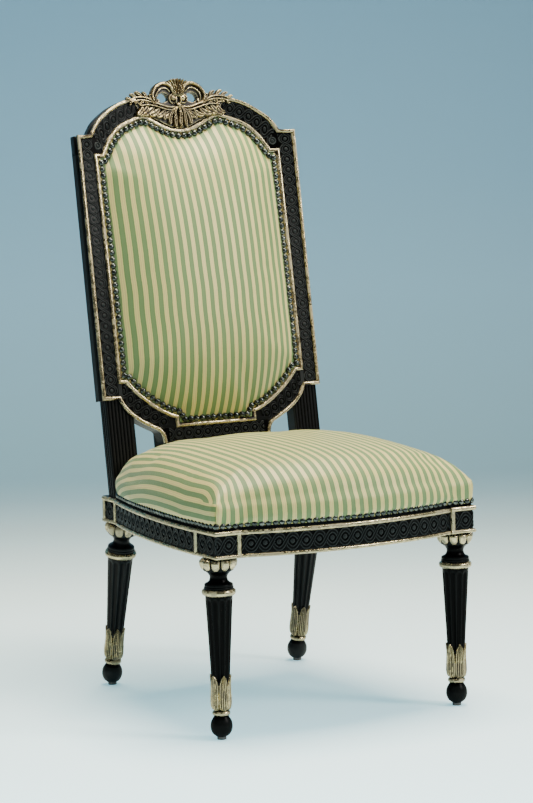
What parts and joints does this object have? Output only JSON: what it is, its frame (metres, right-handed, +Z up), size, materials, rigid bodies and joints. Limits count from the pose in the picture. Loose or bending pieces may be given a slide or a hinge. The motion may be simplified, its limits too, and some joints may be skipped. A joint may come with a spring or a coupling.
{
  "type": "upholstered dining side chair",
  "caption": "High-backed side chair with turned fluted legs, bowed seat rails, padded seat and back and a pierced carved crest.",
  "frame": {"origin": "on the floor under the middle of the chair's overall width and depth", "axes": "+Z up, -Y the way a sitter faces, +X to the sitter's left"},
  "size_m": [0.5648, 0.6949, 1.1684],
  "materials": {
    "ebonised_wood": "ebonised carved beech, satin polish, parcel gilt on beads, collars and leaves",
    "gilt_carving": "carved wood with worn pale gold leaf over brown ground",
    "inner_wood": "plain unfinished beech",
    "glide_metal": "darkened steel disc",
    "screw_steel": "plain steel wood screw",
    "stripe_fabric": "sage and cream striped satin weave",
    "hair_padding": "curled hair under wadding",
    "jute": "plain jute webbing and hessian",
    "black_cloth": "black bottoming cloth",
    "nail_metal": "dark gunmetal domed nail head, polished by handling"
  },
  "bodies": {
    "root": {"front_leg_left": "ebonised_wood", "front_leg_right": "ebonised_wood", "rear_upright_left": "ebonised_wood", "rear_upright_right": "ebonised_wood", "glide_front_left": "glide_metal", "glide_front_right": "glide_metal", "glide_rear_left": "glide_metal", "glide_rear_right": "glide_metal", "front_seat_rail": "ebonised_wood", "side_seat_rail_left": "ebonised_wood", "side_seat_rail_right": "ebonised_wood", "rear_seat_rail": "ebonised_wood", "seat_dowels": "inner_wood", "back_dowels": "inner_wood", "corner_block_front_left": "inner_wood", "corner_block_front_right": "inner_wood", "corner_block_rear_left": "inner_wood", "corner_block_rear_right": "inner_wood", "corner_block_screws": "screw_steel", "crest_rail": "ebonised_wood", "back_lower_rail": "ebonised_wood", "crest_carving": "gilt_carving", "seat_padding": "hair_padding", "seat_cover": "stripe_fabric", "seat_webbing": "jute", "seat_hessian": "jute", "seat_dust_cover": "black_cloth", "back_padding": "hair_padding", "back_cover": "stripe_fabric", "back_hessian": "jute", "back_webbing": "jute", "outside_back": "stripe_fabric", "seat_nails": "nail_metal", "back_nails": "nail_metal"}
  },
  "joints": []
}
